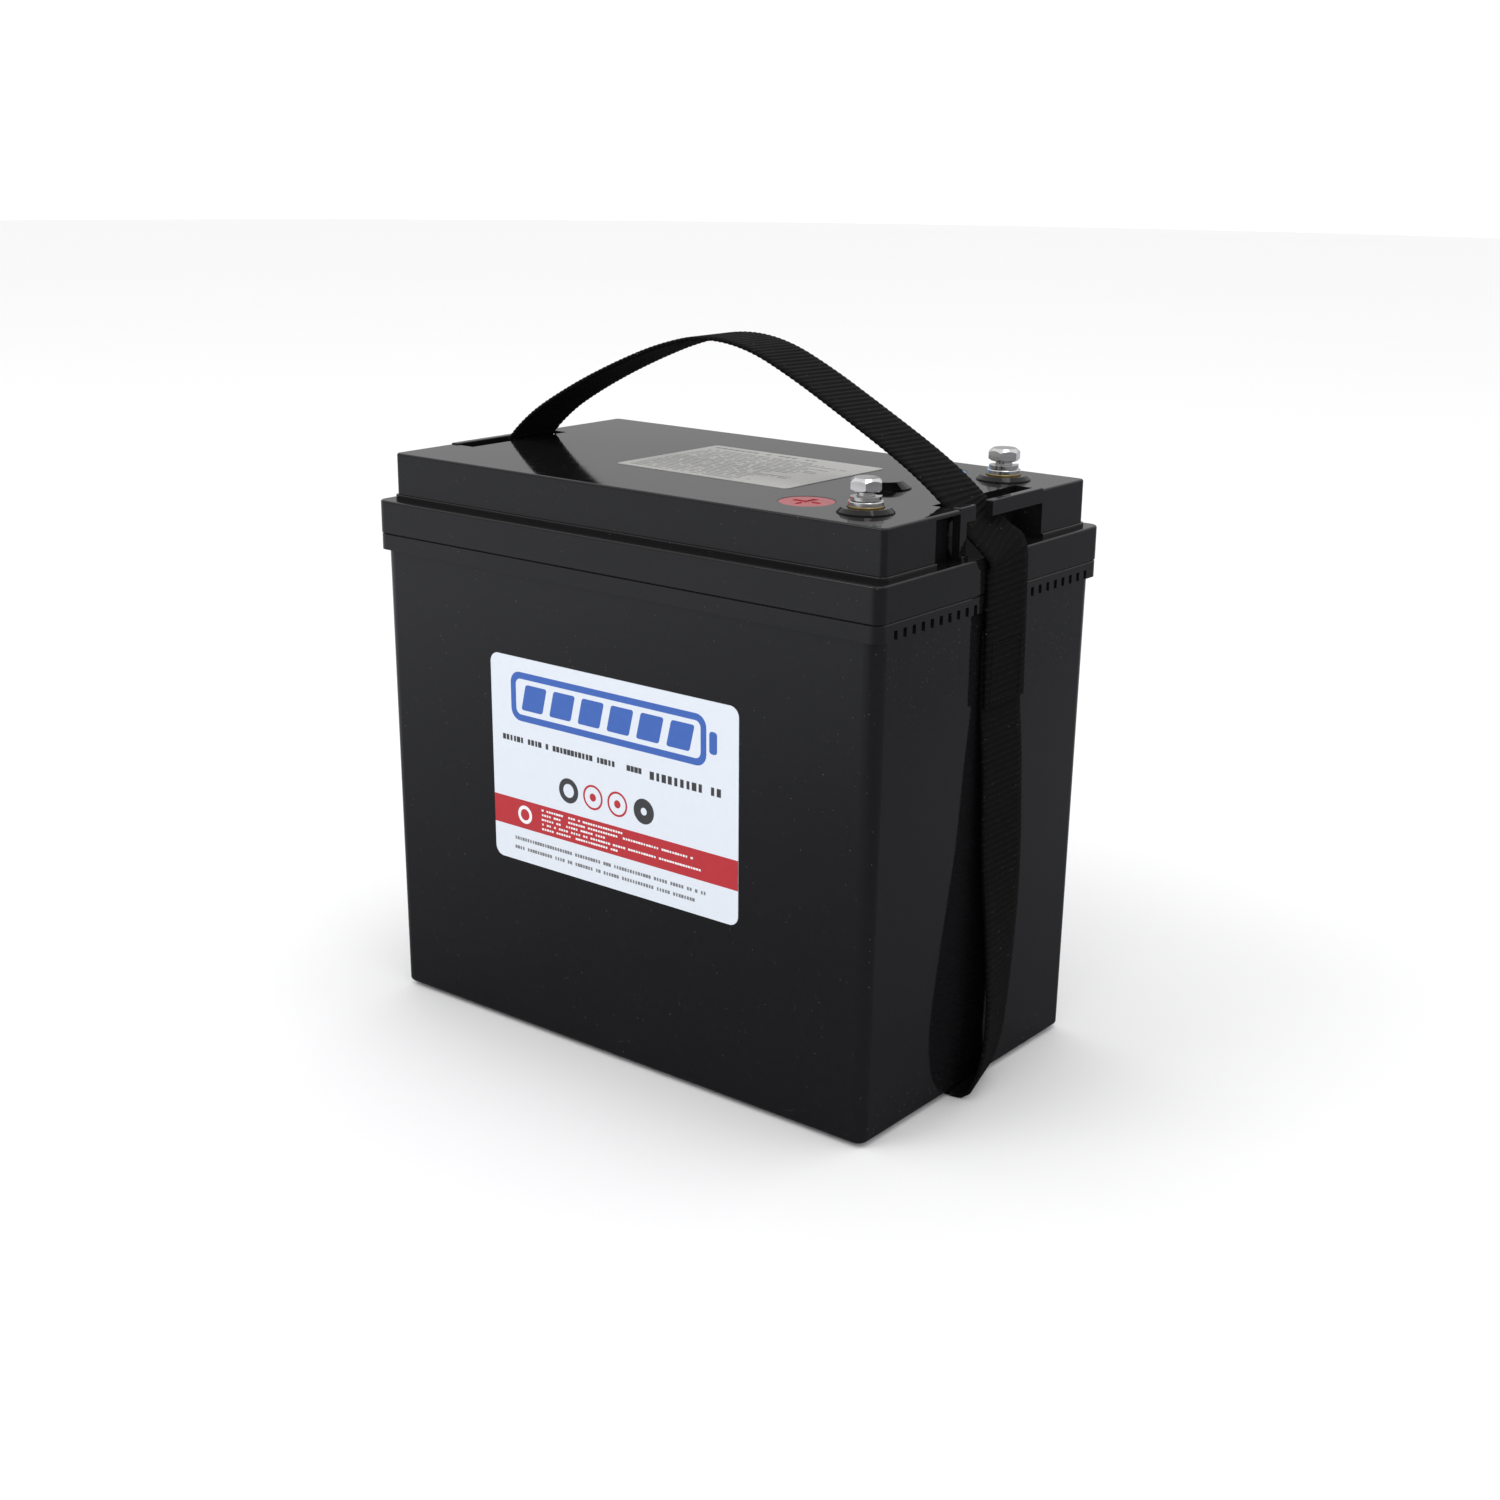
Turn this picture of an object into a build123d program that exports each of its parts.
from build123d import *
import os
from math import atan, atan2, cos, degrees, radians, sin, tan

# A 12 V rechargeable pack in the common 229 x 138 x 211 mm case: a drafted container, a glued lid with
# two strap slots and two M6 terminals, a closed loop of webbing that is both sling and carrying handle,
# and inside it 36 cylindrical cells in four groups of nine under a protection board.
#
# Millimetres. X runs along the case, Y across it (the label faces -Y), Z up. The origin is the centre of
# the footprint, on the surface that the pack stands on, which is the underside of the webbing.

# ---- driving dimensions ----
WEB_WIDTH = 25.0
WEB_THICK = 1.5
BASE_Z = WEB_THICK                  # the container stands on the webbing

CASE_LENGTH = 229.0
CASE_WIDTH = 138.0
WALL_TOP_Z = BASE_Z + 175.5         # underside of the container's flange
PARTING_Z = BASE_Z + 181.5
LEDGE_Z = BASE_Z + 194.0            # top of the lid's skirt
LID_Z = BASE_Z + 211.0              # top of the lid

WALL = 3.0
FLOOR = 3.5
FLANGE_STEP = 1.6                   # how far the flange stands out from the container's wall
DRAFT = 1.5                         # how far each side leans in, from flange to base
UPPER_INSET_X = 3.6                 # the lid's upper section, in from the skirt
UPPER_INSET_Y = 6.8
CORNER = 4.0
UPPER_CORNER = 2.0
PLINTH = 0.9                        # small step around the foot of the upper section
PLINTH_HEIGHT = 1.6
EDGE = 0.8                          # rounding of moulded edges
PARTING_GROOVE = 0.4                # bevel on both sides of the parting line

# seal between lid and container
TONGUE_DEPTH = 6.0
TONGUE_WALL = 2.2
SLIP_GAP = 0.2
BEAD = 1.6

# vent notches in the flange, at both ends
NOTCHES = 24
NOTCH_SPAN = 119.0
NOTCH_WIDTH = 2.0
NOTCH_HEIGHT = 3.3

# strap slot at each end of the lid; the far one is the near one turned half round
WINDOW_Y = (-15.0, 33.0)
SHAFT_Y = (-18.9, 33.0)
SHAFT_X = 99.5
SLOT_WALL = 2.0
FINGER_X = 107.9                    # inner face of the two fingers that trap the webbing
FINGER_Z = BASE_Z + 206.3           # their underside
FINGER_GAP_Y = (-9.7, 0.7)          # the webbing is threaded edgewise through this gap
FINGER_RISE = 0.5
FINGER_ROUND = 0.45
POCKET_Y = (-33.3, -18.9)           # pocket beside the window, closed on top
POCKET_DEPTH = 5.0
POCKET_LIP = 1.4

# terminals
TERMINAL_X = 89.3
TERMINAL_Y = 42.0
BOSS_RADIUS = 9.7
BOSS_HEIGHT = 1.7
BOSS_CHAMFER = 1.3
FLANGE_RADIUS = 6.2                 # brass flange that a cable lug clamps on
FLANGE_PROUD = 0.6
NECK_RADIUS = 4.6
NECK_LENGTH = 12.0
THREAD_RADIUS = 3.0                 # M6
THREAD_DEPTH = 9.2
RUNNING_GAP = 0.05
BOLT_LENGTH = 12.0
HEAD_FLATS = 10.0
HEAD_HEIGHT = 4.4
HEAD_TURN = {-1: 3.0, 1: -12.0}     # which way each head happens to point, in degrees
WASHER_RADIUS = 5.9
WASHER_HOLE = 3.2
WASHER_THICK = 1.4
SPRING_SECTION = (2.0, 1.1)         # width and thickness of the spring washer's wire
SPRING_RISE = 0.5
SPRING_GAP_DEG = 12.0
CROWN = (9.4, 4.1)                  # radii of the cones that round off the head's corners
FOOT = (4.6, 11.4)
SEAT_CLEARANCE = 0.1                # under the head of a tight bolt
FIT_GAP = 0.1                       # between parts that are pressed or set into the lid
FLANGE_SUNK = 2.0                   # how far the brass flange sits down in its boss
FLANGE_HEIGHT = FLANGE_PROUD + FLANGE_SUNK
ORING_WIRE = 0.5                    # radius of the seal's section
LUG_THICK = 1.5
LUG_RADIUS = 8.0
LUG_NECK_WIDTH = 9.0
NUT_THICK = 2.4
INSERT_NUT_FLATS = 15.0
BARREL_LENGTH = 12.0
LOOSE_LIFT = {-1: 1.4, 1: 1.2}      # how far up each bolt is left, positive one first

# polarity discs and blanking plug
DISC_X = 64.0
DISC_Y = 40.0
DISC_RADIUS = 9.9
DISC_DEPTH = 0.6
SIGN_LENGTH = 11.0
SIGN_WIDTH = 2.4
PLUG_X = 68.0
PLUG_BASE_RADIUS = 9.0
PLUG_TOP_RADIUS = 5.9
PLUG_HEIGHT = 2.6
PLUG_STEM_RADIUS = 5.0
PLUG_BARB = 0.5                     # snap rim under the lid
PLUG_RIM = 0.4                      # upright edge below the cone

# labels
LABEL_THICK = 0.2
FRONT_LABEL = (116.0, 78.5, 3.8)    # length, height, corner radius
FRONT_LABEL_Z = BASE_Z + 105.6
TOP_LABEL = (79.0, 57.0, 1.5)
TOP_LABEL_AT = (6.0, 3.0)

# webbing
ARCH_POINTS = [                     # middle of the webbing above the lid: x, height over the base
    (-104.9, 211.4),
    (-96.5, 218.5),
    (-86.6, 225.3),
    (-66.5, 235.9),
    (-46.2, 244.9),
    (-25.7, 252.5),
    (-4.8, 257.0),
    (16.1, 255.3),
    (37.4, 247.1),
    (59.1, 236.5),
    (81.1, 225.3),
    (93.5, 217.9),
    (103.0, 211.4),
]
HANDLE_ENDS = (0.26, 0.74)          # where the swinging arch begins and ends along that line
HANDLE_STEPS = 8
ARCH_SKEW = -2.5                    # degrees: the two slots are not quite opposite each other
LAP_BOTTOM_Z = BASE_Z + 141.0       # sewn lap on the right-hand side
LAP_TOP_Z = BASE_Z + 169.0
ARCH = Spline([(x, 0, BASE_Z + height) for x, height in ARCH_POINTS])
SIDE_X = CASE_LENGTH / 2 + 0.4 + WEB_THICK / 2  # middle of the webbing where it passes the skirt
LOWER_SIDE = [                      # stations down the end of the case: x, y, z, slope, turn
    (118.6, 6.0, BASE_Z + 70.0, 91.5, 0),
    (120.2, 5.0, BASE_Z + 34.0, 92, 0),
    (120.0, 3.0, BASE_Z + 14.0, 104, 0),
    (117.3, 1.5, BASE_Z + 3.6, 130, 0),
    (112.0, 0.5, WEB_THICK / 2, 180, 0),
]

# cells
CELL_RADIUS = 16.1
CELL_HEIGHT = 70.5
CELL_PITCH = 34.0
CAP_GROOVE = 1.0                    # groove around the cap of the positive end
CELL_COLUMNS = 6
CELL_ROWS = 3
BRACKET = (208.0, 108.0, 8.0)
BRACKET_CLEARANCE = 0.15
FOAM_THICK = 3.0
BOARD_THICK = 1.0
BUS_THICK = 0.5
ROD_X = 100.5
ROD_Y = 50.5
ROD_RADIUS = 1.95
NUT_FLATS = 6.4
NUT_HEIGHT = 2.2
NUT_CLEARANCE = 4.2
TAB_END_X = 106.8
TAB_WIDTH = 4.0
WIRE_RADIUS = 0.75
LEAD_RADIUS = 2.75

# protection board
BMS = (110.0, 56.0)
BMS_X = -12.0

HALF_LENGTH = CASE_LENGTH / 2
WALL_LENGTH = CASE_LENGTH - 2 * FLANGE_STEP     # the container's wall, where it meets the flange
WALL_WIDTH = CASE_WIDTH - 2 * FLANGE_STEP
BASE_LENGTH = WALL_LENGTH - 2 * DRAFT
BASE_WIDTH = WALL_WIDTH - 2 * DRAFT
LEAN = DRAFT / (WALL_TOP_Z - BASE_Z)
LEAN_DEG = degrees(atan(LEAN))
UPPER_LENGTH = CASE_LENGTH - 2 * UPPER_INSET_X
UPPER_WIDTH = CASE_WIDTH - 2 * UPPER_INSET_Y
END_X = UPPER_LENGTH / 2            # end face of the lid's upper section
BOSS_Z = LID_Z + BOSS_HEIGHT
SEAT_Z = BOSS_Z + FLANGE_PROUD      # brass face that the flat washer lies on
CEILING_Z = LID_Z - WALL
BARREL_WALL = 1.0
BARREL_X = TERMINAL_X - LUG_RADIUS - BARREL_LENGTH / 2 - 4.0
LEAD_TOP_Z = CEILING_Z - LEAD_RADIUS - BARREL_WALL  # height of a lead's axis at its lug

# levels of the cell stack, from the floor up
FLOOR_Z = BASE_Z + FLOOR
BASE_BOARD_Z = FLOOR_Z + FOAM_THICK
LOWER_BUS_Z = BASE_BOARD_Z + BOARD_THICK
LOWER_CELL_Z = LOWER_BUS_Z + BUS_THICK
MID_LOW_BUS_Z = LOWER_CELL_Z + CELL_HEIGHT
MID_BOARD_Z = MID_LOW_BUS_Z + BUS_THICK
MID_HIGH_BUS_Z = MID_BOARD_Z + 2 * BOARD_THICK
UPPER_CELL_Z = MID_HIGH_BUS_Z + BUS_THICK
UPPER_BUS_Z = UPPER_CELL_Z + CELL_HEIGHT
TOP_BOARD_Z = UPPER_BUS_Z + BUS_THICK
STACK_TOP_Z = TOP_BOARD_Z + 2 * BOARD_THICK

LEFT_COLUMNS = range(0, 3)
RIGHT_COLUMNS = range(3, 6)
ALL_COLUMNS = range(0, 6)
SENSE_Y = (-10.0, -5.0, 5.0)
RISER_X = -106.0
RISER_Y = {"positive": -22.0, "negative": 22.0}
RISER_TOP_Z = STACK_TOP_Z + 5.0
RISER_THICK = 1.0

# levels and places of the protection board
PLATE_THICK = 2.0
PLATE_Z = STACK_TOP_Z + 0.5
PCB_Z = PLATE_Z + 6.0
PCB_TOP = PCB_Z + 1.6
CONNECTOR_X = BMS_X + BMS[0] / 2 - 6
BMS_HOLES = [(BMS_X + sx * (BMS[0] / 2 - 5), sy * (BMS[1] / 2 - 5)) for sx in (-1, 1) for sy in (-1, 1)]
SCREW_RADIUS = 1.5
SWITCH_PITCH = 11.0
SWITCH_COUNT = 7
SWITCH_WIDTH = 9.0

parts = {}


# ---- shapes used by more than one piece ----
def block(x_span, y_span, z_span):
    """A box given by its limits along each axis."""
    size = [high - low for low, high in (x_span, y_span, z_span)]
    middle = [(low + high) / 2 for low, high in (x_span, y_span, z_span)]
    return Pos(*middle) * Box(*size)


def slab(length, width, corner, z_low, z_high, lean=0.0):
    """A prism on a rounded rectangle around the Z axis; lean widens it upwards, in degrees."""
    face = Pos(0, 0, z_low) * RectangleRounded(length, width, corner)
    return extrude(face, z_high - z_low, taper=-lean)


def rod(x, y, radius, z_low, z_high):
    """An upright cylinder."""
    return Pos(x, y, (z_low + z_high) / 2) * Cylinder(radius, z_high - z_low)


def ring(x, y, outer, inner, z_low, z_high):
    """An upright cylinder with a hole through it."""
    return rod(x, y, outer, z_low, z_high) - rod(x, y, inner, z_low, z_high)


def hexagon(x, y, flats, z_low, z_high, turn=0.0):
    """An upright hexagonal prism, its size given across the flats."""
    face = Pos(x, y, z_low) * Rot(0, 0, turn) * RegularPolygon(flats / 2, 6, major_radius=False)
    return extrude(face, z_high - z_low)


def half_turn(shape):
    """The same shape turned half round the Z axis."""
    return Rot(0, 0, 180) * shape


def tube(points, radius):
    """A round lead along straight runs joined by arcs as large as the runs allow."""
    stops = [Vector(*p) for p in points]
    radii = []
    for before, here, after in zip(stops, stops[1:], stops[2:]):
        shorter = min((here - before).length, (after - here).length)
        turn = (here - before).get_angle(after - here)
        radii.append(0.45 * shorter / tan(radians(turn / 2)))
    path = FilletPolyline(*stops, radius=radii)
    start = Plane(origin=path @ 0, z_dir=path % 0)
    return sweep(start * Circle(radius), path=path)


# ---- container ----
def make_container():
    """Drafted shell with a flange, end notches and a groove for the seal."""
    shell = slab(BASE_LENGTH, BASE_WIDTH, CORNER, BASE_Z, WALL_TOP_Z, LEAN_DEG)
    shell = fillet(shell.faces().sort_by(Axis.Z)[0].edges(), 2 * EDGE)
    flange = slab(CASE_LENGTH - SLIP_GAP, CASE_WIDTH - SLIP_GAP, CORNER, WALL_TOP_Z, PARTING_Z)
    flange = chamfer(flange.faces().sort_by(Axis.Z)[-1].edges(), PARTING_GROOVE)
    room_length = BASE_LENGTH - 2 * WALL
    room_width = BASE_WIDTH - 2 * WALL
    room = slab(room_length, room_width, CORNER - 1, FLOOR_Z, PARTING_Z, LEAN_DEG)
    jar = shell + flange - room - make_seal_bead()
    pitch = NOTCH_SPAN / (NOTCHES - 1)
    for index in range(NOTCHES):
        y = -NOTCH_SPAN / 2 + index * pitch
        notch = block(
            (HALF_LENGTH - FLANGE_STEP, HALF_LENGTH + 1),
            (y - NOTCH_WIDTH / 2, y + NOTCH_WIDTH / 2),
            (WALL_TOP_Z - 1, WALL_TOP_Z + NOTCH_HEIGHT),
        )
        jar -= notch
        jar -= half_turn(notch)
    return jar


def make_seal_bead():
    """Adhesive that fills the groove in the top of the container's wall."""
    length = WALL_LENGTH - WALL
    width = WALL_WIDTH - WALL
    outer = slab(length + BEAD, width + BEAD, CORNER + BEAD, PARTING_Z - BEAD, PARTING_Z)
    return outer - slab(length - BEAD, width - BEAD, CORNER, PARTING_Z - BEAD, PARTING_Z)


# ---- lid ----
def slot_backing():
    """Plastic left around one strap slot and its pocket, so that both stay closed to the inside."""
    z_span = (LEDGE_Z - WALL, LID_Z)
    around_shaft = block(
        (SHAFT_X - SLOT_WALL, END_X), (SHAFT_Y[0] - SLOT_WALL, SHAFT_Y[1] + SLOT_WALL), z_span
    )
    around_pocket = block(
        (END_X - POCKET_DEPTH - SLOT_WALL, END_X), (POCKET_Y[0] - SLOT_WALL, POCKET_Y[1]), z_span
    )
    return around_shaft + around_pocket


def slot_cuts():
    """The shaft, the window under the fingers, the threading gap and the pocket of one end."""
    above = LID_Z + 2
    outside = HALF_LENGTH + 1
    shaft = block((SHAFT_X, FINGER_X), SHAFT_Y, (LEDGE_Z, above))
    window = block((FINGER_X - 1, outside), WINDOW_Y, (LEDGE_Z, FINGER_Z))
    gap = block((FINGER_X - 1, outside), FINGER_GAP_Y, (FINGER_Z - 1, above))
    pocket = block((END_X - POCKET_DEPTH, outside), POCKET_Y, (LEDGE_Z, LID_Z - POCKET_LIP))
    return shaft + window + gap + pocket


def fingers():
    """The slightly raised, rounded tops of the two fingers at one end."""
    tops = []
    for y_span in ((SHAFT_Y[0], FINGER_GAP_Y[0]), (FINGER_GAP_Y[1], SHAFT_Y[1])):
        top = block((FINGER_X, END_X), y_span, (LID_Z - 2, LID_Z + FINGER_RISE))
        tops.append(fillet(top.faces().sort_by(Axis.Z)[-1].edges(), FINGER_ROUND))
    return tops[0] + tops[1]


def make_lid():
    """Skirt, upper section, terminal bosses, strap slots and the tongue that enters the container."""
    skirt = slab(CASE_LENGTH, CASE_WIDTH, CORNER, PARTING_Z, LEDGE_Z)
    skirt = fillet(skirt.faces().sort_by(Axis.Z)[-1].edges(), EDGE)
    skirt = chamfer(skirt.faces().sort_by(Axis.Z)[0].edges(), PARTING_GROOVE)
    foot_length = UPPER_LENGTH + 2 * PLINTH
    foot_width = UPPER_WIDTH + 2 * PLINTH
    foot_top = LEDGE_Z + PLINTH_HEIGHT
    plinth = slab(foot_length, foot_width, UPPER_CORNER + PLINTH, LEDGE_Z - 1, foot_top)
    plinth = fillet(plinth.faces().sort_by(Axis.Z)[-1].edges(), PLINTH / 2)
    upper = slab(UPPER_LENGTH, UPPER_WIDTH, UPPER_CORNER, LEDGE_Z - 1, LID_Z)
    upper = fillet(upper.faces().sort_by(Axis.Z)[-1].edges(), EDGE)
    lid = skirt + plinth + upper
    low_room = slab(CASE_LENGTH - 2 * WALL, CASE_WIDTH - 2 * WALL, 2, PARTING_Z, LEDGE_Z - WALL)
    high_room = slab(UPPER_LENGTH - 2 * WALL, UPPER_WIDTH - 2 * WALL, 1, PARTING_Z, CEILING_Z)
    backing = slot_backing()
    lid -= (low_room + high_room) - backing - half_turn(backing)
    tongue_length = WALL_LENGTH - 2 * WALL - 2 * SLIP_GAP
    tongue_width = WALL_WIDTH - 2 * WALL - 2 * SLIP_GAP
    tongue_low = PARTING_Z - TONGUE_DEPTH
    web_high = PARTING_Z + WALL
    tongue = slab(tongue_length, tongue_width, CORNER + SLIP_GAP, tongue_low, web_high)
    web = slab(CASE_LENGTH - 2, CASE_WIDTH - 2, CORNER - 1, PARTING_Z, web_high)
    tongue_room = slab(
        tongue_length - 2 * TONGUE_WALL, tongue_width - 2 * TONGUE_WALL, 2, tongue_low, web_high
    )
    lid += web + tongue - tongue_room
    for side in (-1, 1):
        boss = rod(TERMINAL_X, side * TERMINAL_Y, BOSS_RADIUS, LID_Z - 1, BOSS_Z)
        lid += chamfer(boss.faces().sort_by(Axis.Z)[-1].edges(), BOSS_CHAMFER)
    lid -= slot_cuts() + half_turn(slot_cuts())
    lid += fingers() + half_turn(fingers())
    flange_low = BOSS_Z - FLANGE_SUNK
    oring_room = NECK_RADIUS + 0.2 + 2 * ORING_WIRE + 0.2
    for side in (-1, 1):
        y = side * TERMINAL_Y
        lid -= rod(TERMINAL_X, y, FLANGE_RADIUS + FIT_GAP, flange_low, BOSS_Z + 1)
        lid -= rod(TERMINAL_X, y, oring_room, flange_low - 2 * ORING_WIRE, flange_low)
        lid -= rod(TERMINAL_X, y, NECK_RADIUS + FIT_GAP, CEILING_Z - 1, LID_Z)
        lid -= rod(DISC_X, side * DISC_Y, DISC_RADIUS + FIT_GAP, LID_Z - DISC_DEPTH, LID_Z + 1)
    lid -= rod(PLUG_X, 0, PLUG_STEM_RADIUS + FIT_GAP, CEILING_Z - 1, LID_Z + 1)
    return lid


def make_plug():
    """Low conical blanking plug, snapped into a round hole in the lid."""
    stem_low = CEILING_Z - 3 * PLUG_BARB
    profile = Polyline(
        (0, stem_low),
        (PLUG_STEM_RADIUS, stem_low),
        (PLUG_STEM_RADIUS + PLUG_BARB, CEILING_Z - FIT_GAP),
        (PLUG_STEM_RADIUS, CEILING_Z - FIT_GAP),
        (PLUG_STEM_RADIUS, LID_Z),
        (PLUG_BASE_RADIUS, LID_Z),
        (PLUG_BASE_RADIUS, LID_Z + PLUG_RIM),
        (PLUG_TOP_RADIUS, LID_Z + PLUG_HEIGHT),
        (0, LID_Z + PLUG_HEIGHT),
        close=True,
    )
    return Pos(PLUG_X, 0, 0) * revolve(Plane.XZ * make_face(profile), Axis.Z)


def make_disc(side, is_plus):
    """Polarity disc with its sign sunk into the face."""
    top = LID_Z - 0.1
    disc = rod(DISC_X, side * DISC_Y, DISC_RADIUS, LID_Z - DISC_DEPTH, top)
    bar = Box(SIGN_LENGTH, SIGN_WIDTH, 0.6)
    sign = bar + Rot(0, 0, 90) * bar if is_plus else bar
    return disc - Pos(DISC_X, side * DISC_Y, top) * sign


# ---- terminals ----
def make_insert(side):
    """Brass terminal: a flange on top of the boss and a blind-threaded neck through the lid."""
    y = side * TERMINAL_Y
    flange = rod(TERMINAL_X, y, FLANGE_RADIUS, SEAT_Z - FLANGE_HEIGHT, SEAT_Z)
    flange = chamfer(flange.faces().sort_by(Axis.Z)[-1].edges(), 0.3)
    neck = rod(TERMINAL_X, y, NECK_RADIUS, SEAT_Z - NECK_LENGTH, SEAT_Z)
    return flange + neck - rod(TERMINAL_X, y, THREAD_RADIUS, SEAT_Z - THREAD_DEPTH, SEAT_Z)


def make_oring(side):
    """Seal under the brass flange."""
    z = BOSS_Z - FLANGE_SUNK - ORING_WIRE
    return Pos(TERMINAL_X, side * TERMINAL_Y, z) * Torus(NECK_RADIUS + ORING_WIRE + 0.2, ORING_WIRE)


def make_nut(side):
    """Thin hexagonal nut that pulls the insert down against the lug."""
    y = side * TERMINAL_Y
    high = CEILING_Z - LUG_THICK
    low = high - NUT_THICK
    nut = hexagon(TERMINAL_X, y, INSERT_NUT_FLATS, low, high)
    return nut - rod(TERMINAL_X, y, NECK_RADIUS, low, high)


def make_lug(side):
    """Copper ring lug under the lid, with its crimp barrel towards the middle of the pack."""
    y = side * TERMINAL_Y
    low, high = CEILING_Z - LUG_THICK, CEILING_Z
    neck_x = (TERMINAL_X - 1.75 * LUG_RADIUS, TERMINAL_X)
    neck_y = (y - LUG_NECK_WIDTH / 2, y + LUG_NECK_WIDTH / 2)
    plate = rod(TERMINAL_X, y, LUG_RADIUS, low, high) + block(neck_x, neck_y, (low, high))
    plate -= rod(TERMINAL_X, y, NECK_RADIUS, low, high)
    barrel_at = Pos(BARREL_X, y, LEAD_TOP_Z) * Rot(0, 90, 0)
    barrel = barrel_at * Cylinder(LEAD_RADIUS + BARREL_WALL, BARREL_LENGTH)
    bore = barrel_at * Pos(0, 0, -2) * Cylinder(LEAD_RADIUS, BARREL_LENGTH)
    return plate + barrel - bore


def bolt_seat(side):
    """Underside of a bolt's head; both bolts are a little way up from their washers."""
    return SEAT_Z + WASHER_THICK + SPRING_SECTION[1] + SPRING_RISE + SEAT_CLEARANCE + LOOSE_LIFT[side]


def make_bolt(side):
    """M6 hexagon bolt; its thread is a plain shank with running clearance."""
    y = side * TERMINAL_Y
    low = bolt_seat(side)
    head = hexagon(TERMINAL_X, y, HEAD_FLATS, low, low + HEAD_HEIGHT, HEAD_TURN[side])
    upright = (Align.CENTER, Align.CENTER, Align.MIN)
    crown = Pos(TERMINAL_X, y, low) * Cone(CROWN[0], CROWN[1], HEAD_HEIGHT, align=upright)
    foot = Pos(TERMINAL_X, y, low) * Cone(FOOT[0], FOOT[1], HEAD_HEIGHT, align=upright)
    shank = rod(TERMINAL_X, y, THREAD_RADIUS - RUNNING_GAP, low - BOLT_LENGTH, low)
    shank = chamfer(shank.faces().sort_by(Axis.Z)[0].edges(), 0.6)
    return (head & crown & foot) + shank


def make_flat_washer(side):
    """Plain washer on the brass face."""
    y = side * TERMINAL_Y
    disc = ring(TERMINAL_X, y, WASHER_RADIUS, WASHER_HOLE, SEAT_Z, SEAT_Z + WASHER_THICK)
    return chamfer(disc.faces().sort_by(Axis.Z)[-1].outer_wire().edges(), 0.25)


def make_spring_washer(side):
    """One turn of square wire, its two ends standing apart by the rise."""
    width, thick = SPRING_SECTION
    radius = WASHER_HOLE + width / 2
    turn = 1 - SPRING_GAP_DEG / 360
    helix = Helix(pitch=SPRING_RISE / turn, height=SPRING_RISE, radius=radius)
    start = Plane(origin=helix @ 0, x_dir=(1, 0, 0), z_dir=helix % 0)
    coil = sweep(start * Rectangle(width, thick), path=helix, is_frenet=True)
    low = SEAT_Z + WASHER_THICK
    coil = Pos(0, 0, low - coil.bounding_box().min.Z + 0.02) * coil
    return Pos(TERMINAL_X, side * TERMINAL_Y, 0) * Rot(0, 0, 60) * coil


# ---- labels ----
def make_front_label():
    """Rounded sheet on the front wall, leaning with the draft."""
    length, height, corner = FRONT_LABEL
    sheet = extrude(RectangleRounded(length, height, corner), LABEL_THICK)
    wall_y = BASE_WIDTH / 2 + LEAN * (FRONT_LABEL_Z - BASE_Z)
    return Pos(0, -wall_y - 0.02, FRONT_LABEL_Z) * Rot(90 + LEAN_DEG, 0, 0) * sheet


def make_top_label():
    """Data sheet on the lid."""
    length, width, corner = TOP_LABEL
    face = Pos(*TOP_LABEL_AT, LID_Z) * Rot(0, 0, -1.0) * RectangleRounded(length, width, corner)
    return extrude(face, LABEL_THICK)


# ---- webbing ----
def webbing(stations):
    """A ribbon through stations of x, y, z of its middle, its downward slope and its turn about Z."""
    sections = []
    for x, y, z, slope, turn in stations:
        across = Vector(0, 1, 0).rotate(Axis.Z, turn)
        along = Vector(cos(radians(slope)), 0, -sin(radians(slope))).rotate(Axis.Z, turn)
        sections.append(Plane(origin=(x, y, z), x_dir=across, z_dir=along) * Rectangle(WEB_WIDTH, WEB_THICK))
    return loft(sections, ruled=True)


def arch_station(share):
    """The station of the skewed arch at a share of its way from the left-hand slot."""
    at = ARCH @ share
    along = ARCH % share
    slope = degrees(atan2(-along.Z, along.X))
    return at.X * cos(radians(ARCH_SKEW)), at.X * sin(radians(ARCH_SKEW)), at.Z, slope, ARCH_SKEW


def make_handle():
    """The swinging middle of the arch, a smooth band of even section."""
    first, last = HANDLE_ENDS
    shares = [first + (last - first) * step / HANDLE_STEPS for step in range(HANDLE_STEPS + 1)]
    path = Spline([ARCH @ share for share in shares], tangents=[ARCH % first, ARCH % last])
    start = Plane(origin=path @ 0, x_dir=(0, 1, 0), z_dir=path % 0)
    return Rot(0, 0, ARCH_SKEW) * sweep(start * Rectangle(WEB_WIDTH, WEB_THICK), path=path)


def make_entry(stations):
    """From the arch, under the fingers and out over the edge of the skirt, on the right-hand end."""
    return webbing(
        stations
        + [
            (SIDE_X - 9.1, -3.0, LEDGE_Z + 12.0, 48, 0),
            (SIDE_X - 2.2, 1.0, LEDGE_Z + 3.6, 54, 0),
            (SIDE_X - 0.4, 3.0, LEDGE_Z + 1.0, 74, 0),
            (SIDE_X, 4.0, LEDGE_Z - 1.2, 90, 0),
        ]
    )


def make_entry_right():
    """The entry under the right-hand fingers."""
    last = HANDLE_ENDS[1]
    return make_entry([arch_station(last + (1 - last) * step / 3) for step in range(4)])


def make_entry_left():
    """The entry under the left-hand fingers, laid out as a right-hand one and turned half round."""
    turned = []
    for step in range(4):
        x, y, z, slope, turn = arch_station(HANDLE_ENDS[0] * (1 - step / 3))
        turned.append((-x, -y, z, -slope, turn))
    return half_turn(make_entry(turned))


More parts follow.
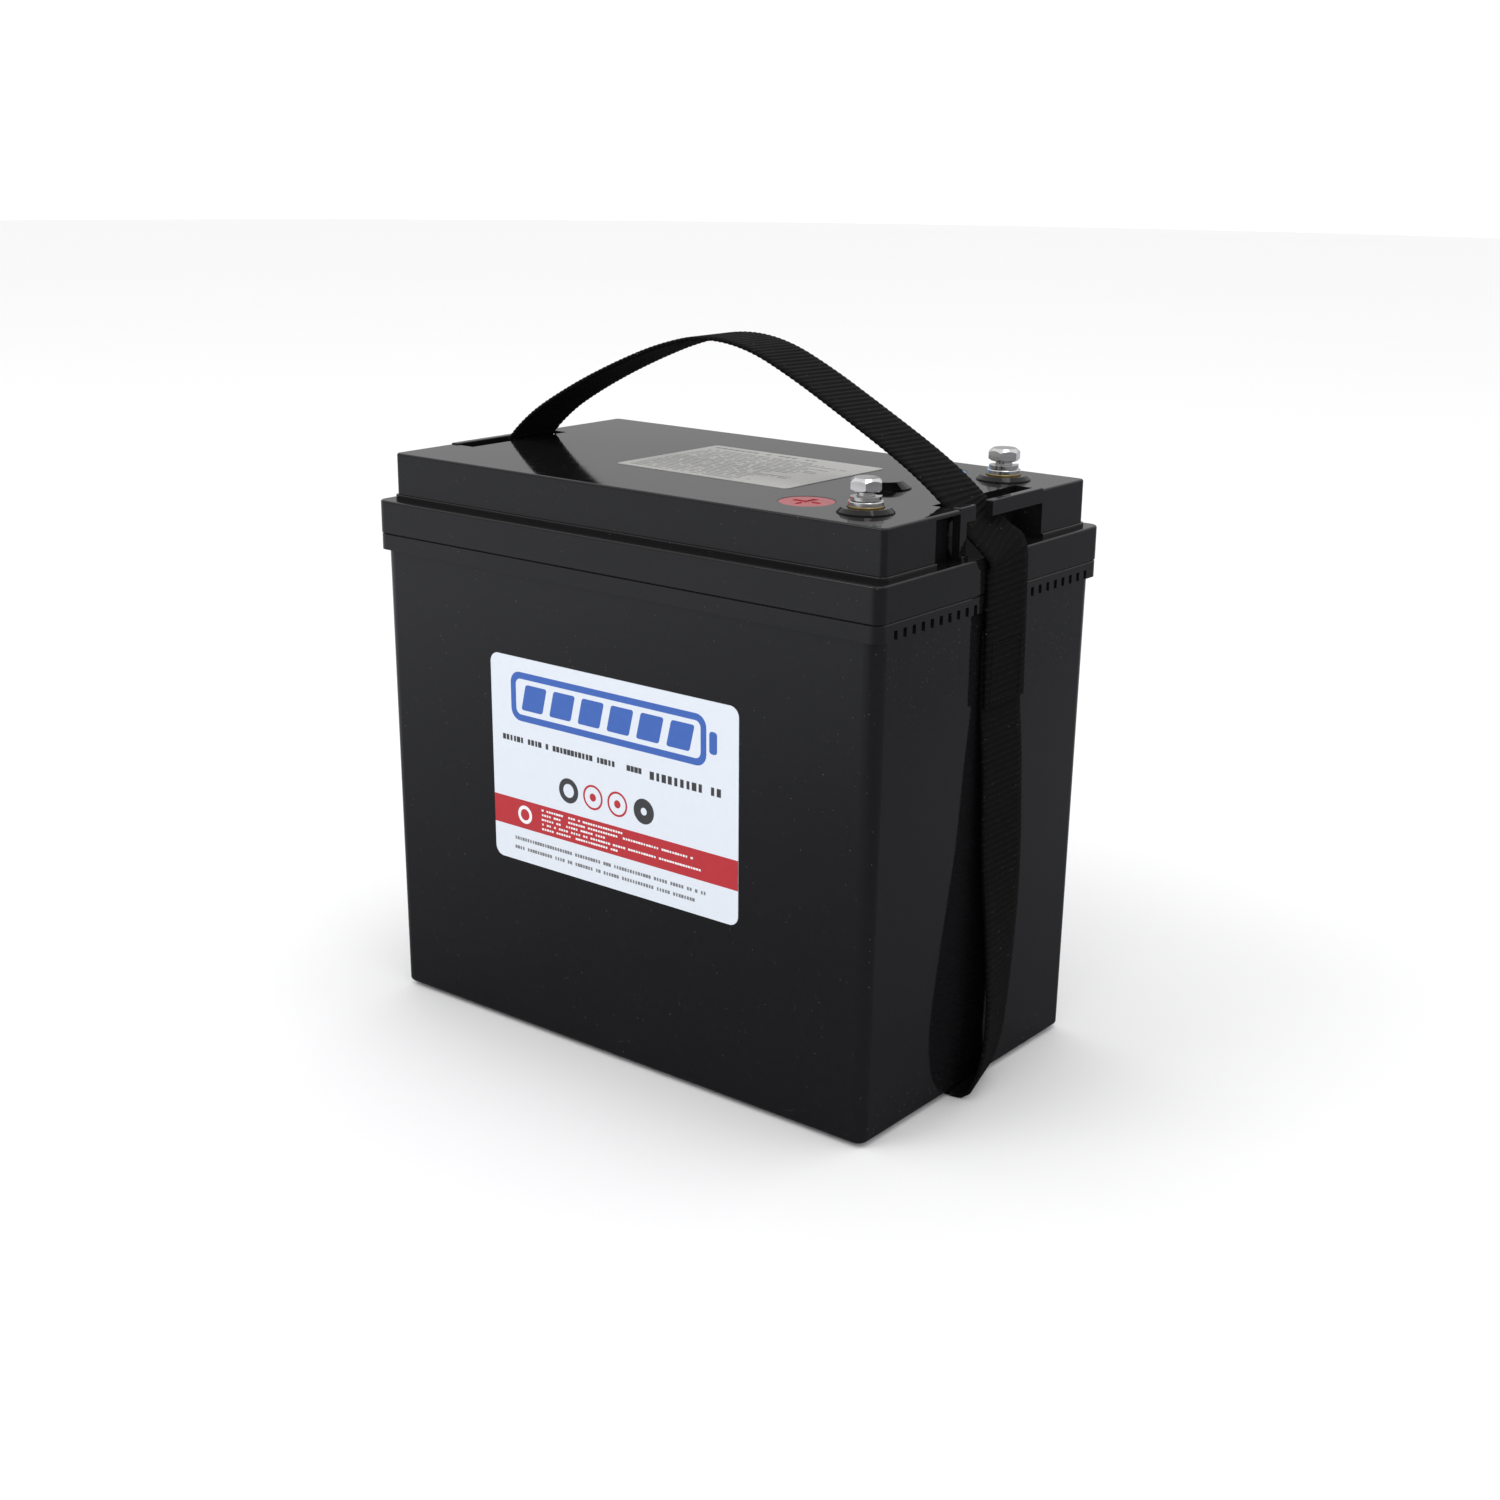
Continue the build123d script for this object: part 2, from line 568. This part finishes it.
def make_right_side():
    """Down the right-hand end, from behind the sewn lap to the edge of the base."""
    behind_lap = SIDE_X - WEB_THICK - 0.05
    upper = [
        (behind_lap, 5.0, LAP_TOP_Z, 90, 0),
        (behind_lap, 5.5, LAP_BOTTOM_Z, 89, 0),
        (SIDE_X + 0.8, 6.0, BASE_Z + 108.0, 88, 0),
    ]
    return webbing(upper + LOWER_SIDE)


def make_lap():
    """The outer layer of the sewn lap, running down from the skirt."""
    return webbing([(SIDE_X, 4.0, LEDGE_Z - 1.2, 90, 0), (SIDE_X, 5.5, LAP_BOTTOM_Z, 90, 0)])


def make_left_side():
    """Down the left-hand end in one layer."""
    upper = [(SIDE_X, 4.0, LEDGE_Z - 1.2, 90, 0), (SIDE_X + 0.4, 5.5, BASE_Z + 120.0, 89, 0)]
    return half_turn(webbing(upper + LOWER_SIDE))


def make_base_run():
    """Flat under the case, from edge to edge."""
    x, y = LOWER_SIDE[-1][:2]
    half = WEB_WIDTH / 2
    outline = Polyline((x, y - half), (x, y + half), (-x, half - y), (-x, -half - y), close=True)
    return extrude(make_face(outline), WEB_THICK)


# ---- cells and what holds them ----
def cell_places(columns):
    """Centres of the cells in the given columns, counted from the left."""
    for column in columns:
        for row in range(CELL_ROWS):
            yield (column - (CELL_COLUMNS - 1) / 2) * CELL_PITCH, (row - 1) * CELL_PITCH


def make_cells(columns, z, positive_up):
    """Nine separate cells, each with a raised cap on its positive end."""
    cells = []
    for x, y in cell_places(columns):
        can = rod(x, y, CELL_RADIUS, z, z + CELL_HEIGHT)
        low = z + CELL_HEIGHT - CAP_GROOVE if positive_up else z
        can -= ring(x, y, CELL_RADIUS - 2, CELL_RADIUS - 7, low, low + CAP_GROOVE)
        cells.append(can)
    return Compound(children=cells)


def rod_places():
    """Centres of the four tie rods."""
    for x in (-ROD_X, ROD_X):
        for y in (-ROD_Y, ROD_Y):
            yield x, y


def make_bracket(z):
    """Moulded plate that holds the ends of one layer of cells."""
    length, width, height = BRACKET
    plate = slab(length, width, 6, z, z + height)
    for x, y in cell_places(range(CELL_COLUMNS)):
        plate -= rod(x, y, CELL_RADIUS + BRACKET_CLEARANCE, z, z + height)
    for x, y in rod_places():
        plate -= rod(x, y, ROD_RADIUS + 0.15, z, z + height)
    return plate


def make_board(z, thickness):
    """Insulating board the size of the cell block, holed for the tie rods."""
    board = slab(BRACKET[0] - 8, BRACKET[1] - 2, 6, z, z + thickness)
    for x, y in rod_places():
        board -= rod(x, y, NUT_CLEARANCE, z, z + thickness)
    return board


def make_foam_base():
    """Soft pad under the cell block, cut away under the tie rods' nuts."""
    pad = slab(BASE_LENGTH - 2 * WALL - 2, BASE_WIDTH - 2 * WALL - 2, 3, FLOOR_Z, BASE_BOARD_Z)
    for x, y in rod_places():
        pad -= rod(x, y, NUT_CLEARANCE, FLOOR_Z, BASE_BOARD_Z)
    return pad


def bus_plate(columns, z):
    """Sheet that joins the cells of the given columns, relieved between them."""
    xs = [x for x, _ in cell_places(columns)]
    low, high = min(xs) - 12, max(xs) + 12
    plate = block((low, high), (-CELL_PITCH - 12, CELL_PITCH + 12), (z, z + BUS_THICK))
    for x in sorted(set(xs))[:-1]:
        for y in (-CELL_PITCH / 2, CELL_PITCH / 2):
            plate -= rod(x + CELL_PITCH / 2, y, 7, z, z + BUS_THICK)
    return plate


def sense_tab(y, z, low_x=90.0):
    """Narrow tongue from a bus sheet out past the bracket, where a sense wire is soldered."""
    return block((low_x, TAB_END_X), (y - TAB_WIDTH / 2, y + TAB_WIDTH / 2), (z, z + BUS_THICK))


def riser(y_middle, z):
    """Strip from a bus sheet up the left-hand end and in over the top board."""
    y_span = (y_middle - 7, y_middle + 7)
    foot = block((RISER_X, -90), y_span, (z, z + BUS_THICK))
    post = block((RISER_X, RISER_X + RISER_THICK), y_span, (z, RISER_TOP_Z))
    shelf = block((RISER_X, -84), y_span, (RISER_TOP_Z - RISER_THICK, RISER_TOP_Z))
    return foot + post + shelf


def make_mid_link():
    """Sheets above and below the middle board on the right, joined round its edge."""
    lower = bus_plate(RIGHT_COLUMNS, MID_LOW_BUS_Z) + sense_tab(SENSE_Y[1], MID_LOW_BUS_Z)
    upper = bus_plate(RIGHT_COLUMNS, MID_HIGH_BUS_Z)
    y_span = (12, 32)
    x_high = BRACKET[0] / 2 - 2
    link = block((90, x_high), y_span, (MID_LOW_BUS_Z, MID_LOW_BUS_Z + BUS_THICK))
    link += block((90, x_high), y_span, (MID_HIGH_BUS_Z, MID_HIGH_BUS_Z + BUS_THICK))
    link += block((x_high - 1, x_high), y_span, (MID_LOW_BUS_Z, MID_HIGH_BUS_Z + BUS_THICK))
    return lower + upper + link


def make_tie_rods():
    """Four rods through the brackets, each with a nut at both ends."""
    rods = []
    for x, y in rod_places():
        low, high = LOWER_CELL_Z, UPPER_BUS_Z
        stud = rod(x, y, ROD_RADIUS, low - NUT_HEIGHT, high + NUT_HEIGHT)
        stud += hexagon(x, y, NUT_FLATS, low - NUT_HEIGHT, low)
        stud += hexagon(x, y, NUT_FLATS, high, high + NUT_HEIGHT)
        rods.append(stud)
    return Compound(children=rods)


def mirrored_pair(x_span, y_span, z_span):
    """Two equal sheets, in front of and behind the cell block."""
    low, high = y_span
    return Compound(children=[block(x_span, y_span, z_span), block(x_span, (-high, -low), z_span)])


# ---- protection board ----
def bms_sheet(z_low, z_high):
    """A board of the protection unit's outline, with its four screw holes."""
    sheet = Pos(BMS_X, 0, 0) * slab(BMS[0], BMS[1], 3, z_low, z_high)
    for x, y in BMS_HOLES:
        sheet -= rod(x, y, SCREW_RADIUS + 0.2, z_low, z_high)
    return sheet


def make_bms_fasteners():
    """Screws with their spacers between plate and board."""
    pieces = []
    for x, y in BMS_HOLES:
        spacer = ring(x, y, 2 * SCREW_RADIUS, SCREW_RADIUS + 0.2, PLATE_Z + PLATE_THICK, PCB_Z)
        screw = rod(x, y, SCREW_RADIUS, PLATE_Z, PCB_TOP) + rod(x, y, 2.8, PCB_TOP, PCB_TOP + 1.8)
        pieces += [spacer, screw]
    return Compound(children=pieces)


def make_switches():
    """Two rows of power switches standing on the board."""
    switches = []
    for index in range(SWITCH_COUNT):
        x = BMS_X - 36 + SWITCH_PITCH * index
        x_span = (x - SWITCH_WIDTH / 2, x + SWITCH_WIDTH / 2)
        for y in (-12, 6):
            body = block(x_span, (y - 4.6, y + 4.6), (PCB_TOP, PCB_TOP + 4.5))
            tab = block(x_span, (y + 4.6, y + 8), (PCB_TOP, PCB_TOP + 1.3))
            switches.append(body + tab)
    return Compound(children=switches)


def make_connector():
    """Socket and plug of the sense wires at the right-hand edge of the board."""
    return block((CONNECTOR_X - 5, CONNECTOR_X + 3), (-13, 8), (PCB_TOP, PCB_TOP + 6))


def make_sense_wires():
    """One wire from each tongue up the end of the cell block and across to the connector."""
    wire_x = TAB_END_X - 0.9
    top_z = PCB_TOP + 3
    wires = []
    for y, bus_z in zip(SENSE_Y, (LOWER_BUS_Z, MID_LOW_BUS_Z, UPPER_BUS_Z)):
        route = [
            (wire_x, y, bus_z + BUS_THICK),
            (wire_x, y, STACK_TOP_Z + 1),
            (wire_x - 8, y, top_z - 1.5),
            (CONNECTOR_X + 3.2, y, top_z),
        ]
        wires.append(tube(route, WIRE_RADIUS))
    return Compound(children=wires)


def make_lead(kind):
    """Insulated lead from the cell block or the board up to a terminal lug."""
    lug_z = LEAD_TOP_Z
    lug_x = BARREL_X - BARREL_LENGTH / 2
    if kind == "positive":
        y = -TERMINAL_Y
        return tube(
            [
                (lug_x + 8, y, lug_z),
                (lug_x - 12, y, lug_z),
                (lug_x - 52, y + 4, lug_z - 16),
                (-40, y + 2, lug_z - 24),
                (-70, RISER_Y["positive"] - 4, RISER_TOP_Z + 6),
                (-92, RISER_Y["positive"], RISER_TOP_Z + LEAD_RADIUS),
            ],
            LEAD_RADIUS,
        )
    y = TERMINAL_Y
    return tube(
        [
            (lug_x + 8, y, lug_z),
            (lug_x - 12, y, lug_z),
            (lug_x - 34, y - 6, lug_z - 14),
            (18, 22, PCB_TOP + 12),
            (2, 20, PCB_TOP + LEAD_RADIUS),
        ],
        LEAD_RADIUS,
    )


def make_pack_lead():
    """Short lead from the negative riser to the board."""
    y = RISER_Y["negative"]
    return tube(
        [
            (-96, y, RISER_TOP_Z + LEAD_RADIUS),
            (-82, y, RISER_TOP_Z + LEAD_RADIUS + 1),
            (-68, y - 5, PCB_TOP + 5.5),
            (-55, y - 9, PCB_TOP + LEAD_RADIUS),
        ],
        LEAD_RADIUS,
    )


# ---- the pieces ----
parts["container"] = make_container()
parts["lid"] = make_lid()
parts["seal_bead"] = make_seal_bead()
parts["lid_plug"] = make_plug()
parts["disc_positive"] = make_disc(-1, True)
parts["disc_negative"] = make_disc(1, False)
parts["label_front"] = make_front_label()
parts["label_top"] = make_top_label()

for name, side in (("positive", -1), ("negative", 1)):
    parts[f"terminal_insert_{name}"] = make_insert(side)
    parts[f"terminal_seal_{name}"] = make_oring(side)
    parts[f"terminal_nut_{name}"] = make_nut(side)
    parts[f"terminal_lug_{name}"] = make_lug(side)
    parts[f"terminal_bolt_{name}"] = make_bolt(side)
    parts[f"flat_washer_{name}"] = make_flat_washer(side)
    parts[f"spring_washer_{name}"] = make_spring_washer(side)

parts["strap_handle"] = make_handle()
parts["strap_entry_right"] = make_entry_right()
parts["strap_entry_left"] = make_entry_left()
parts["strap_lap"] = make_lap()
parts["strap_side_right"] = make_right_side()
parts["strap_side_left"] = make_left_side()
parts["strap_base_run"] = make_base_run()

parts["cell_group_1"] = make_cells(LEFT_COLUMNS, LOWER_CELL_Z, False)
parts["cell_group_2"] = make_cells(RIGHT_COLUMNS, LOWER_CELL_Z, True)
parts["cell_group_3"] = make_cells(RIGHT_COLUMNS, UPPER_CELL_Z, True)
parts["cell_group_4"] = make_cells(LEFT_COLUMNS, UPPER_CELL_Z, False)
for name, z in (
    ("lower_base", LOWER_CELL_Z),
    ("lower_top", MID_LOW_BUS_Z - BRACKET[2]),
    ("upper_base", UPPER_CELL_Z),
    ("upper_top", UPPER_BUS_Z - BRACKET[2]),
):
    parts[f"cell_bracket_{name}"] = make_bracket(z)
parts["bus_lower"] = bus_plate(ALL_COLUMNS, LOWER_BUS_Z) + sense_tab(SENSE_Y[0], LOWER_BUS_Z)
parts["bus_middle"] = make_mid_link()
parts["bus_upper"] = bus_plate(ALL_COLUMNS, UPPER_BUS_Z) + sense_tab(SENSE_Y[2], UPPER_BUS_Z)
parts["bus_negative"] = bus_plate(LEFT_COLUMNS, MID_LOW_BUS_Z) + riser(RISER_Y["negative"], MID_LOW_BUS_Z)
parts["bus_positive"] = bus_plate(LEFT_COLUMNS, MID_HIGH_BUS_Z) + riser(RISER_Y["positive"], MID_HIGH_BUS_Z)
parts["board_base"] = make_board(BASE_BOARD_Z, BOARD_THICK)
parts["board_middle"] = make_board(MID_BOARD_Z, 2 * BOARD_THICK)
parts["board_top"] = make_board(TOP_BOARD_Z, 2 * BOARD_THICK)
parts["foam_base"] = make_foam_base()
block_x = (-BRACKET[0] / 2, BRACKET[0] / 2)
block_z = (BASE_BOARD_Z, UPPER_BUS_Z)
parts["boards_side"] = mirrored_pair(block_x, (BRACKET[1] / 2 + 0.1, BRACKET[1] / 2 + 1.1), block_z)
parts["foam_side"] = mirrored_pair(block_x, (BRACKET[1] / 2 + 1.1, BASE_WIDTH / 2 - WALL - 0.2), block_z)
parts["tie_rods"] = make_tie_rods()

parts["bms_plate"] = bms_sheet(PLATE_Z, PLATE_Z + PLATE_THICK)
parts["bms_board"] = bms_sheet(PCB_Z, PCB_TOP)
parts["bms_fasteners"] = make_bms_fasteners()
parts["bms_switches"] = make_switches()
parts["bms_connector"] = make_connector()
parts["sense_wires"] = make_sense_wires()
parts["lead_positive"] = make_lead("positive")
parts["lead_negative"] = make_lead("negative")
parts["lead_pack"] = make_pack_lead()

os.makedirs("parts", exist_ok=True)
for name, shape in parts.items():
    export_step(shape, f"parts/{name}.step")
